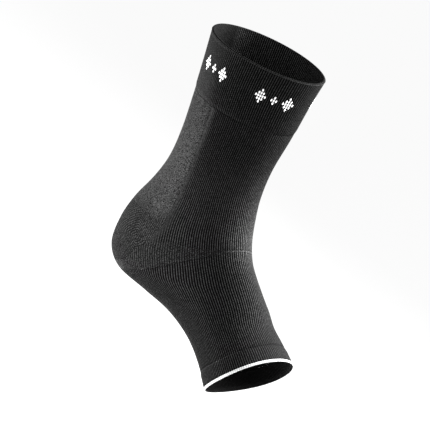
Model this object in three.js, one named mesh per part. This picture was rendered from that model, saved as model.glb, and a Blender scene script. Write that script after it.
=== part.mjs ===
// A compression ankle sleeve: a knitted tube, open at both ends, that keeps the form of the ankle in it.
// Millimetres. +Z runs up the lower leg, +X points to the toes, and the origin is the ankle's centre.
import * as THREE from 'three';

// Driving dimensions
const LEG_RISE = 140; // ankle's centre to the leg rim
const CALF_DEPTH = 91; // front to back at the leg rim
const CALF_WIDTH = 90; // side to side at the leg rim
const ANKLE_DEPTH = 75.2; // front to back where the leg is slimmest
const ANKLE_WIDTH = 67; // side to side at the ankle bones
const LEG_LEAN = 1; // how far the leg's middle line lies ahead of the ankle's centre
const RIM_DROP = 3; // how much lower the leg rim lies in front than behind
const INSTEP_REACH = 66.7; // ankle's centre forward to the crease of the instep
const HEEL_REACH = 58.5; // ankle's centre back to the back of the heel
const HEEL_DROP = 61.4; // ankle's centre down to the underside of the heel
const HEEL_WIDTH = 66; // side to side at the heel
const FOOT_LENGTH = 126; // ankle's centre to the toe rim, along the foot
const FOOT_PITCH = 39; // degrees that the foot points down
const TOE_HEIGHT = 56; // instep to sole at the toe rim
const TOE_WIDTH = 80; // side to side at the toe rim
const TOE_CURVE = 2.1; // how much further the toe rim reaches at its sides than at instep and sole
const TOE_SKEW = 2; // how much further it reaches on the right-hand side than midway

const KNIT_WALL = 1.3; // single knit
const PLAIN_WALL = 1.1; // plain knit of the back zone
const WELT_WALL = 2.0; // doubled knit
const WELT_PROUD = 0.4; // how far doubled knit stands outside the single knit
const WELT_HEIGHT = 45; // band at the leg opening
const TOE_WELT_LENGTH = 14; // band at the toe opening, with its edge
const TOE_EDGE_LENGTH = 1.8; // pale edge of the toe opening
const TOE_EDGE_WALL = 1.2; // turned knit of that edge
const PIECE_GAP = 0.3; // clearance between neighbouring zones

// Facets
const RING_STEPS = 56; // facets round a whole section
const COURSE_STEP = 8; // length of a facet along the tube, about

// Sections of the leg, from the rim down. rise is a share of LEG_RISE, and lean of LEG_LEAN. depth and
// width say how far a section's size lies from the ankle's, 0, to the leg rim's, 1.
const LEG_SECTIONS = [
  { rise: 1.0, lean: -0.8, depth: 1.0, width: 1.0 },
  { rise: 0.82, lean: -0.2, depth: 0.52, width: 0.82 },
  { rise: 0.63, lean: 0.5, depth: 0.27, width: 0.5 },
  { rise: 0.43, lean: 0.3, depth: 0.0, width: 0.16 },
];

// Sections that turn round the ankle. Each lies between a point in front, whose reach is a share of
// INSTEP_REACH, and a point behind, whose reach is a share of HEEL_REACH. Heights are shares of HEEL_DROP,
// and width of HEEL_WIDTH. frontFull and backFull say how much blunter than an ellipse either end is.
const TURN_SECTIONS = [
  { front: 0.59, frontUp: 0.62, back: 0.65, backUp: 0.6, width: 1.03, frontFull: 0.02, backFull: 0.02 },
  { front: 0.67, frontUp: 0.33, back: 0.75, backUp: 0.265, width: 1.01, frontFull: 0.06, backFull: 0.06 },
  { front: 0.765, frontUp: 0.11, back: 0.92, backUp: -0.115, width: 1.0, frontFull: 0.1, backFull: 0.12 },
  { front: 0.88, frontUp: -0.055, back: 1.0, backUp: -0.46, width: 0.98, frontFull: 0.14, backFull: 0.2 },
  { front: 1.0, frontUp: -0.16, back: 0.955, backUp: -0.8, width: 0.985, frontFull: 0.16, backFull: 0.26 },
  { front: 1.135, frontUp: -0.27, back: 0.67, backUp: -0.985, width: 1.02, frontFull: 0.14, backFull: 0.28 },
];

// Sections of the foot. instep and sole are shares of FOOT_LENGTH, and their heights above the foot's line
// are shares of TOE_HEIGHT. width says how far the section lies from the heel's width to the toe rim's.
const FOOT_SECTIONS = [
  { instep: 0.62, instepUp: 0.62, sole: 0.27, soleUp: -0.945, width: 0.07, frontFull: 0.12, backFull: 0.24 },
  { instep: 0.68, instepUp: 0.61, sole: 0.46, soleUp: -0.635, width: 0.15, frontFull: 0.1, backFull: 0.18 },
  { instep: 0.765, instepUp: 0.585, sole: 0.66, soleUp: -0.42, width: 0.32, frontFull: 0.08, backFull: 0.14 },
  { instep: 0.86, instepUp: 0.62, sole: 0.85, soleUp: -0.33, width: 0.68, frontFull: 0.06, backFull: 0.1 },
  { instep: 1.024, instepUp: 0.685, sole: 1.052, soleUp: -0.33, width: 1.0, frontFull: 0.07, backFull: 0.08 },
];

// Borders of the zones. A station is counted in sections from the leg rim, so that 4.5 lies halfway between
// the fifth section and the sixth. Angles are in degrees from the front of a section, on either side.
// The wedge runs round the ankle: thin over the instep, wide at the sides, and under the heel as a band.
const WEDGE_SPREAD = 20; // degrees from one row to the next
const WEDGE_BORDERS = [
  { upper: 6.2, lower: 6.36 },
  { upper: 6.32, lower: 6.52 },
  { upper: 6.6, lower: 6.98 },
  { upper: 6.84, lower: 7.64 },
  { upper: 7.02, lower: 8.3 },
  { upper: 7.5, lower: 8.74 },
  { upper: 8.4, lower: 8.96 },
  { upper: 8.6, lower: 9.06 },
  { upper: 8.64, lower: 9.1 },
  { upper: 8.64, lower: 9.1 },
];
// Where the ribbed front ends at the sides: along the plain zone, then along the heel.
const SIDE_ANGLE = 87;
const SIDE_ANGLE_AT_WEDGE = 97;
const SIDE_TURNS_AT = 6;
const SIDE_WEDGE_AT = 7.4;
// Where the plain zone ends above the heel, at its sides and at the back.
const HEEL_TOP_AT_SIDE = 6.3;
const HEEL_TOP_AT_BACK = 6.0;

const DEGREE = Math.PI / 180;

// Value of a smooth curve through equally spaced rows, at a place counted in rows.
function through(values, place) {
  const last = values.length - 1;
  const k = Math.min(Math.max(Math.floor(place), 0), last - 1);
  const t = place - k;
  const b = values[k];
  const c = values[k + 1];
  const a = k > 0 ? values[k - 1] : 2 * b - c;
  const d = k + 2 <= last ? values[k + 2] : 2 * c - b;
  const slope = c - a;
  const bend = 2 * a - 5 * b + 4 * c - d;
  const twist = 3 * b - a - 3 * c + d;
  return (2 * b + slope * t + bend * t * t + twist * t * t * t) / 2;
}

// The sections' end points in the plane of symmetry, and their widths, from the leg rim to the toe rim.
function sectionEnds() {
  const between = (low, high, share) => low + (high - low) * share;
  const leg = LEG_SECTIONS.map((row) => {
    const middle = LEG_LEAN * row.lean;
    const half = between(ANKLE_DEPTH, CALF_DEPTH, row.depth) / 2;
    const z = row.rise * LEG_RISE;
    return {
      frontX: middle + half,
      frontZ: z - RIM_DROP * row.depth,
      backX: middle - half,
      backZ: z,
      width: between(ANKLE_WIDTH, CALF_WIDTH, row.width),
      frontFull: 0,
      backFull: 0,
    };
  });
  const turn = TURN_SECTIONS.map((row) => ({
    frontX: row.front * INSTEP_REACH,
    frontZ: row.frontUp * HEEL_DROP,
    backX: -row.back * HEEL_REACH,
    backZ: row.backUp * HEEL_DROP,
    width: row.width * HEEL_WIDTH,
    frontFull: row.frontFull,
    backFull: row.backFull,
  }));
  const forward = Math.cos(FOOT_PITCH * DEGREE);
  const down = Math.sin(FOOT_PITCH * DEGREE);
  const foot = FOOT_SECTIONS.map((row) => {
    const place = (along, up) => [along * forward + up * down, up * forward - along * down];
    const [frontX, frontZ] = place(row.instep * FOOT_LENGTH, row.instepUp * TOE_HEIGHT);
    const [backX, backZ] = place(row.sole * FOOT_LENGTH, row.soleUp * TOE_HEIGHT);
    const width = between(HEEL_WIDTH, TOE_WIDTH, row.width);
    return { frontX, frontZ, backX, backZ, width, frontFull: row.frontFull, backFull: row.backFull };
  });
  return [...leg, ...turn, ...foot];
}

const ends = sectionEnds();
const columns = Object.fromEntries(
  Object.keys(ends[0]).map((key) => [key, ends.map((row) => row[key])]),
);
const LEG_RIM = 0;
const TOE_END = ends.length - 1;

// A point of the sleeve's outside. The angle runs from the front, 0, over the right-hand side, 90, to the
// back, 180.
function skinPoint(station, angle) {
  const at = (key) => through(columns[key], station);
  const cosine = Math.cos(angle * DEGREE);
  const toFront = (1 + cosine) / 2;
  const full = cosine > 0 ? at('frontFull') : at('backFull');
  const across = Math.sin(angle * DEGREE) * (1 + full * cosine * cosine);
  return new THREE.Vector3(
    at('backX') + (at('frontX') - at('backX')) * toFront,
    (-at('width') / 2) * across,
    at('backZ') + (at('frontZ') - at('backZ')) * toFront,
  );
}

// How the outside runs along the tube and round it at a point, per station and per degree.
function skinSlopes(station, angle) {
  const step = 0.01;
  const turn = 0.5;
  const from = Math.max(station - step, LEG_RIM);
  const to = Math.min(station + step, TOE_END);
  const along = skinPoint(to, angle).sub(skinPoint(from, angle)).divideScalar(to - from);
  const round = skinPoint(station, angle + turn)
    .sub(skinPoint(station, angle - turn))
    .divideScalar(2 * turn);
  return { along, round };
}

// A point at a height over the outside, negative within the wall.
function raisedPoint(station, angle, height) {
  const { along, round } = skinSlopes(station, angle);
  const outward = new THREE.Vector3().crossVectors(round, along).normalize();
  return skinPoint(station, angle).addScaledVector(outward, height);
}

// The station that lies a length from another, measured on the outside along one angle.
function stationAfter(station, angle, length) {
  const steps = 24;
  const stride = Math.abs(length) / steps;
  const direction = Math.sign(length);
  let place = station;
  for (let k = 0; k < steps; k += 1) {
    place += (direction * stride) / skinSlopes(place, angle).along.length();
  }
  return place;
}

// A shell over a patch of the outside, closed all round. column gives, for a share of the way round the
// patch, the stations where it starts and ends, and its angle at a station. A ring closes on itself.
function shell({ across, ring, column, top, bottom }) {
  const count = ring ? across : across + 1;
  const lines = Array.from({ length: count }, (_, j) => column(j / across));
  const reach = ({ start, end, angleAt }) =>
    skinPoint(start, angleAt(start)).distanceTo(skinPoint(end, angleAt(end)));
  const rows = Math.max(1, Math.round(Math.max(...lines.map(reach)) / COURSE_STEP));
  const points = [];
  for (const { start, end, angleAt } of lines) {
    for (let i = 0; i <= rows; i += 1) {
      const station = start + ((end - start) * i) / rows;
      const angle = angleAt(station);
      points.push(raisedPoint(station, angle, top), raisedPoint(station, angle, bottom));
    }
  }
  const faces = [];
  const corner = (j, i, layer) => ((j % count) * (rows + 1) + i) * 2 + layer;
  const quad = (a, b, c, d) => faces.push(a, b, c, a, c, d);
  for (let j = 0; j < across; j += 1) {
    for (let i = 0; i < rows; i += 1) {
      quad(corner(j, i, 0), corner(j + 1, i, 0), corner(j + 1, i + 1, 0), corner(j, i + 1, 0));
      quad(corner(j, i, 1), corner(j, i + 1, 1), corner(j + 1, i + 1, 1), corner(j + 1, i, 1));
    }
    quad(corner(j, 0, 0), corner(j, 0, 1), corner(j + 1, 0, 1), corner(j + 1, 0, 0));
    quad(corner(j, rows, 0), corner(j + 1, rows, 0), corner(j + 1, rows, 1), corner(j, rows, 1));
  }
  for (let i = 0; i < rows && !ring; i += 1) {
    quad(corner(0, i, 0), corner(0, i + 1, 0), corner(0, i + 1, 1), corner(0, i, 1));
    quad(corner(across, i, 0), corner(across, i, 1), corner(across, i + 1, 1), corner(across, i + 1, 0));
  }
  const geometry = new THREE.BufferGeometry();
  const numbers = points.flatMap((point) => [point.x, point.y, point.z]);
  geometry.setAttribute('position', new THREE.Float32BufferAttribute(numbers, 3));
  geometry.setIndex(faces);
  geometry.computeVertexNormals();
  return geometry;
}

// A whole ring between two borders, each a function from an angle to a station.
function ringShell({ start, end, top, bottom }) {
  const column = (share) => {
    const angle = share * 360;
    return { start: start(angle), end: end(angle), angleAt: () => angle };
  };
  return shell({ across: RING_STEPS, ring: true, column, top, bottom });
}

// A patch between two borders, and between the sides' border on one side of the leg and on the other. It
// lies on the front of the tube or on its back.
function patchShell({ onFront, start, end, top, bottom }) {
  const middle = onFront ? 0 : 180;
  const halfSpan = (station) => (onFront ? sideAngle(station) : 180 - sideAngle(station));
  const column = (share) => {
    const angleAt = (station) => {
      const half = halfSpan(station);
      const edge = skinSlopes(station, middle + half);
      const inset = PIECE_GAP / 2 / edge.round.length();
      return middle + (half - inset) * (2 * share - 1);
    };
    return { start: meeting(start, angleAt), end: meeting(end, angleAt), angleAt };
  };
  const across = Math.round((RING_STEPS * halfSpan(SIDE_TURNS_AT)) / 180);
  return shell({ across, ring: false, column, top, bottom });
}

// The station where a line down the tube meets a border. The line gives an angle for each station.
function meeting(border, angleAt) {
  const tries = 6;
  let station = border(angleAt(SIDE_TURNS_AT));
  for (let k = 0; k < tries; k += 1) station = border(angleAt(station));
  return station;
}

// The angle at which the front ends, at a station.
function sideAngle(station) {
  const share = (station - SIDE_TURNS_AT) / (SIDE_WEDGE_AT - SIDE_TURNS_AT);
  const eased = THREE.MathUtils.smoothstep(share, 0, 1);
  return SIDE_ANGLE + (SIDE_ANGLE_AT_WEDGE - SIDE_ANGLE) * eased;
}

// An angle as it lies from the front, from 0 to 180, on either side.
const fromFront = (angle) => Math.abs(THREE.MathUtils.euclideanModulo(angle + 180, 360) - 180);

// A border of the wedge, mirrored so that it runs straight over the instep and under the heel.
function wedgeBorder(key) {
  const values = WEDGE_BORDERS.map((row) => row[key]);
  const mirrored = [values[1], ...values, values.at(-2)];
  return (angle) => through(mirrored, 1 + fromFront(angle) / WEDGE_SPREAD);
}

// A border moved along the tube by half the clearance between two pieces, measured square to the border.
function moved(border, direction) {
  const turn = 1;
  return (angle) => {
    const station = border(angle);
    const { along, round } = skinSlopes(station, angle);
    const rise = (border(angle + turn) - border(angle - turn)) * along.length();
    const slope = rise / (2 * turn * round.length());
    return stationAfter(station, angle, (direction * PIECE_GAP * Math.hypot(1, slope)) / 2);
  };
}
const before = (border) => moved(border, -1);
const after = (border) => moved(border, 1);

const legRim = () => LEG_RIM;
const weltBorder = (angle) => stationAfter(LEG_RIM, angle, WELT_HEIGHT);
const wedgeTop = wedgeBorder('upper');
const wedgeFoot = wedgeBorder('lower');
const toeRim = (angle) => aboveToeRim(angle, 0);
const toeWeltBorder = (angle) => aboveToeRim(angle, TOE_WELT_LENGTH);
const toeEdgeBorder = (angle) => aboveToeRim(angle, TOE_EDGE_LENGTH);

// The station that lies a length above the toe rim. The rim meets the last section on the right-hand side
// and runs above it elsewhere.
function aboveToeRim(angle, length) {
  const skewed = TOE_SKEW * (1 - Math.sin(angle * DEGREE));
  const curved = TOE_CURVE * Math.cos(angle * DEGREE) ** 2;
  return stationAfter(TOE_END, angle, -skewed - curved - length);
}

function heelTop(angle) {
  const share = (180 - fromFront(angle)) / (180 - SIDE_ANGLE);
  return HEEL_TOP_AT_BACK + (HEEL_TOP_AT_SIDE - HEEL_TOP_AT_BACK) * share * share;
}

const KNIT = { top: 0, bottom: -KNIT_WALL };
const PLAIN = { top: 0, bottom: -PLAIN_WALL };
const DOUBLED = { top: WELT_PROUD, bottom: WELT_PROUD - WELT_WALL };
const TURNED = { top: WELT_PROUD, bottom: WELT_PROUD - TOE_EDGE_WALL };

const pieces = {
  leg_welt: ringShell({ start: legRim, end: before(weltBorder), ...DOUBLED }),
  leg_front: patchShell({ onFront: true, start: after(weltBorder), end: before(wedgeTop), ...KNIT }),
  achilles_panel: patchShell({ onFront: false, start: after(weltBorder), end: before(heelTop), ...PLAIN }),
  heel_cup: patchShell({ onFront: false, start: after(heelTop), end: before(wedgeTop), ...KNIT }),
  ankle_gusset: ringShell({ start: after(wedgeTop), end: before(wedgeFoot), ...KNIT }),
  foot_tube: ringShell({ start: after(wedgeFoot), end: before(toeWeltBorder), ...KNIT }),
  toe_welt: ringShell({ start: after(toeWeltBorder), end: before(toeEdgeBorder), ...DOUBLED }),
  toe_edge: ringShell({ start: after(toeEdgeBorder), end: toeRim, ...TURNED }),
};

// Yarns: matt black nylon with elastane, a greyer plain knit, and a white edge.
const YARNS = {
  black: { color: '#232325', roughness: 0.82 },
  grey: { color: '#4a4a4d', roughness: 0.9 },
  white: { color: '#e9e9e7', roughness: 0.75 },
};
const yarnOf = { achilles_panel: 'grey', ankle_gusset: 'grey', toe_edge: 'white' };

const sleeve = new THREE.Group();
sleeve.name = 'compression_ankle_sleeve';
for (const [name, geometry] of Object.entries(pieces)) {
  const material = new THREE.MeshStandardMaterial({ ...YARNS[yarnOf[name] ?? 'black'], metalness: 0 });
  const mesh = new THREE.Mesh(geometry, material);
  mesh.name = name;
  sleeve.add(mesh);
}

export default sleeve;
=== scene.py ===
"""Dresses the compression ankle sleeve: its knit zones, welts, rims, stitches, floor, lights and camera.

Everything is in metres in the part's own frame: +Z runs up the lower leg, +X points to the toes, and the
origin is the ankle's centre. Angles run round the tube in degrees from its front, with 90 on the right-hand
side, and a station counts sections down the tube from the leg rim.
"""

import logging
import math
from collections.abc import Callable
from dataclasses import dataclass, field
from enum import Enum
from typing import NamedTuple

import bpy
import numpy as np
from mathutils import Matrix, Vector


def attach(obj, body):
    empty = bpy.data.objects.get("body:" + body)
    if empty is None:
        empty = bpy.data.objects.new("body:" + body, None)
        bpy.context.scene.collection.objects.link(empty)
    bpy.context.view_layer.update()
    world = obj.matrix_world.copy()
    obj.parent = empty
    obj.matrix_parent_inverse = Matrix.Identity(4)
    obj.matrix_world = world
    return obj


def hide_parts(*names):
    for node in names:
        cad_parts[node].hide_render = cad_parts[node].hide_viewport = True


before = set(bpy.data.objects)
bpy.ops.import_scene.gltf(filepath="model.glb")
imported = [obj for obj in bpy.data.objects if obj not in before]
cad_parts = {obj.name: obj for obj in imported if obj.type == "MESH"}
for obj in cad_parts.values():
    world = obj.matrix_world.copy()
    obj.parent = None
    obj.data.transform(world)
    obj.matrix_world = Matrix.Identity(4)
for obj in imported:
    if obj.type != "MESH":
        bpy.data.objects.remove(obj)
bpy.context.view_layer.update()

MM = 0.001
BODY = "root"
KNIT_MAP = "knit"
DEGREES_PER_COURSE = 2.5
SAME_PLACE = 0.001 * MM
LOG = logging.getLogger("sleeve")

Border = Callable[[np.ndarray], np.ndarray]


class LegSection(NamedTuple):
    """A section of the leg, as shares of the form's named sizes."""

    rise: float
    lean: float
    depth: float
    width: float


class TurnSection(NamedTuple):
    """A section round the ankle or the foot, whose back is the heel or the sole, as shares of named sizes."""

    front: float
    front_up: float
    back: float
    back_up: float
    width: float
    front_full: float
    back_full: float


class WedgeRow(NamedTuple):
    """The stations of the wedge's two borders at one angle."""

    upper: float
    lower: float


LEG_SECTIONS = (
    LegSection(rise=1.0, lean=-0.8, depth=1.0, width=1.0),
    LegSection(rise=0.82, lean=-0.2, depth=0.52, width=0.82),
    LegSection(rise=0.63, lean=0.5, depth=0.27, width=0.5),
    LegSection(rise=0.43, lean=0.3, depth=0.0, width=0.16),
)
TURN_SECTIONS = (
    TurnSection(0.59, 0.62, 0.65, 0.6, 1.03, 0.02, 0.02),
    TurnSection(0.67, 0.33, 0.75, 0.265, 1.01, 0.06, 0.06),
    TurnSection(0.765, 0.11, 0.92, -0.115, 1.0, 0.1, 0.12),
    TurnSection(0.88, -0.055, 1.0, -0.46, 0.98, 0.14, 0.2),
    TurnSection(1.0, -0.16, 0.955, -0.8, 0.985, 0.16, 0.26),
    TurnSection(1.135, -0.27, 0.67, -0.985, 1.02, 0.14, 0.28),
)
FOOT_SECTIONS = (
    TurnSection(0.62, 0.62, 0.27, -0.945, 0.07, 0.12, 0.24),
    TurnSection(0.68, 0.61, 0.46, -0.635, 0.15, 0.1, 0.18),
    TurnSection(0.765, 0.585, 0.66, -0.42, 0.32, 0.08, 0.14),
    TurnSection(0.86, 0.62, 0.85, -0.33, 0.68, 0.06, 0.1),
    TurnSection(1.024, 0.685, 1.052, -0.33, 1.0, 0.07, 0.08),
)
# One row for every 20 degrees from the front, on either side.
WEDGE_SPREAD = 20.0
WEDGE_ROWS = (
    WedgeRow(6.2, 6.36),
    WedgeRow(6.32, 6.52),
    WedgeRow(6.6, 6.98),
    WedgeRow(6.84, 7.64),
    WedgeRow(7.02, 8.3),
    WedgeRow(7.5, 8.74),
    WedgeRow(8.4, 8.96),
    WedgeRow(8.6, 9.06),
    WedgeRow(8.64, 9.1),
    WedgeRow(8.64, 9.1),
)


def through(values: np.ndarray, place: np.ndarray) -> np.ndarray:
    """Follows a smooth curve through equally spaced values.

    Args:
        values: The values that the curve passes through.
        place: Where it is read, counted in values.

    Returns:
        The curve's value at each place.
    """
    last = len(values) - 1
    padded = np.concatenate([[2 * values[0] - values[1]], values, [2 * values[-1] - values[-2]]])
    k = np.clip(np.floor(place).astype(int), 0, last - 1)
    t = place - k
    a, b, c, d = (padded[k + step] for step in range(4))
    bend = 2 * a - 5 * b + 4 * c - d
    twist = 3 * b - a - 3 * c + d
    return (2 * b + (c - a) * t + bend * t * t + twist * t**3) / 2


def smooth_step(share: np.ndarray) -> np.ndarray:
    """Eases a share from 0 to 1, flat at both ends."""
    share = np.clip(share, 0.0, 1.0)
    return share * share * (3 - 2 * share)


def from_front(angle: np.ndarray) -> np.ndarray:
    """Gives an angle as it lies from the front, 0 to 180, on either side."""
    return np.abs(np.mod(angle + 180, 360) - 180)


class Ramp(NamedTuple):
    """A soft change from 0 to 1, from a value on and over a span."""

    start: float
    span: float

    def at(self, value: np.ndarray) -> np.ndarray:
        """Gives how far the change has come at a value."""
        return smooth_step((value - self.start) / self.span)


class Swell(NamedTuple):
    """A soft rise to 1 round a value, with a flatter top and steeper sides the higher its power."""

    middle: float
    reach: float
    power: int = 2

    def at(self, value: np.ndarray) -> np.ndarray:
        """Gives the rise at a value."""
        return np.exp(-(((value - self.middle) / self.reach) ** self.power))


@dataclass(frozen=True)
class SleeveForm:
    """The outside of the sleeve, a surface through sections from the leg rim to the toe rim."""

    leg_rise: float = 140 * MM
    calf_depth: float = 91 * MM
    calf_width: float = 90 * MM
    ankle_depth: float = 75.2 * MM
    ankle_width: float = 67 * MM
    leg_lean: float = 1 * MM
    rim_drop: float = 3 * MM
    instep_reach: float = 66.7 * MM
    heel_reach: float = 58.5 * MM
    heel_drop: float = 61.4 * MM
    heel_width: float = 66 * MM
    foot_length: float = 126 * MM
    foot_pitch: float = 39.0
    toe_height: float = 56 * MM
    toe_width: float = 80 * MM
    columns: dict[str, np.ndarray] = field(init=False)

    def __post_init__(self) -> None:
        """Works out the sections' end points in the plane of symmetry, and their widths."""
        rows = [*self.leg_rows(), *self.turn_rows(), *self.foot_rows()]
        names = ("front_x", "front_z", "back_x", "back_z", "width", "front_full", "back_full")
        table = np.array(rows)
        object.__setattr__(self, "columns", {name: table[:, k] for k, name in enumerate(names)})

    def leg_rows(self) -> list[tuple[float, ...]]:
        """Gives the leg's sections from the rim down."""
        rows = []
        for row in LEG_SECTIONS:
            middle = self.leg_lean * row.lean
            half = (self.ankle_depth + (self.calf_depth - self.ankle_depth) * row.depth) / 2
            z = row.rise * self.leg_rise
            width = self.ankle_width + (self.calf_width - self.ankle_width) * row.width
            rows.append((middle + half, z - self.rim_drop * row.depth, middle - half, z, width, 0, 0))
        return rows

    def turn_rows(self) -> list[tuple[float, ...]]:
        """Gives the sections that turn round the ankle."""
        return [
            (
                row.front * self.instep_reach,
                row.front_up * self.heel_drop,
                -row.back * self.heel_reach,
                row.back_up * self.heel_drop,
                row.width * self.heel_width,
                row.front_full,
                row.back_full,
            )
            for row in TURN_SECTIONS
        ]

    def foot_rows(self) -> list[tuple[float, ...]]:
        """Gives the foot's sections, turned down to the foot's pitch."""
        forward = math.cos(math.radians(self.foot_pitch))
        down = math.sin(math.radians(self.foot_pitch))
        rows = []
        for row in FOOT_SECTIONS:
            top = row.front * self.foot_length, row.front_up * self.toe_height
            sole = row.back * self.foot_length, row.back_up * self.toe_height
            front, back = (
                (along * forward + up * down, up * forward - along * down) for along, up in (top, sole)
            )
            width = self.heel_width + (self.toe_width - self.heel_width) * row.width
            rows.append((*front, *back, width, row.front_full, row.back_full))
        return rows

    @property
    def toe_end(self) -> float:
        """The station of the last section, which the toe rim meets on the right-hand side."""
        return float(len(self.columns["width"]) - 1)

    def skin(self, station: np.ndarray, angle: np.ndarray) -> np.ndarray:
        """Places points on the outside.

        Args:
            station: Where they lie along the tube.
            angle: Where they lie round it, in degrees.

        Returns:
            Their positions, with the coordinates on the last axis.
        """
        station, angle = np.broadcast_arrays(np.asarray(station, float), np.asarray(angle, float))
        at = {name: through(values, station) for name, values in self.columns.items()}
        cosine = np.cos(np.radians(angle))
        to_front = (1 + cosine) / 2
        full = np.where(cosine > 0, at["front_full"], at["back_full"])
        across = np.sin(np.radians(angle)) * (1 + full * cosine**2)
        x = at["back_x"] + (at["front_x"] - at["back_x"]) * to_front
        z = at["back_z"] + (at["front_z"] - at["back_z"]) * to_front
        return np.stack([x, -at["width"] / 2 * across, z], axis=-1)

    def slopes(self, station: np.ndarray, angle: np.ndarray) -> tuple[np.ndarray, np.ndarray]:
        """Gives how the outside runs along the tube, per station, and round it, per degree."""
        step, turn = 0.01, 0.5
        before = np.maximum(station - step, 0.0)
        after = np.minimum(station + step, self.toe_end)
        along = (self.skin(after, angle) - self.skin(before, angle)) / (after - before)[..., None]
        around = (self.skin(station, angle + turn) - self.skin(station, angle - turn)) / (2 * turn)
        return along, around

    def outward(self, station: np.ndarray, angle: np.ndarray) -> np.ndarray:
        """Gives the outside's unit normals."""
        along, around = self.slopes(station, angle)
        normal = np.cross(around, along)
        return normal / np.linalg.norm(normal, axis=-1, keepdims=True)

    def station_after(
        self, station: np.ndarray, angle: np.ndarray, length: float | np.ndarray
    ) -> np.ndarray:
        """Gives the stations that lie a length further along the tube.

        Args:
            station: Where each length is measured from.
            angle: The angle along which it runs.
            length: How far to go, negative towards the leg rim.

        Returns:
            The stations that are reached.
        """
        steps = 24
        place = np.array(station, float)
        for _ in range(steps):
            along, _ = self.slopes(place, angle)
            place = place + length / steps / np.linalg.norm(along, axis=-1)
        return place


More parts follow.
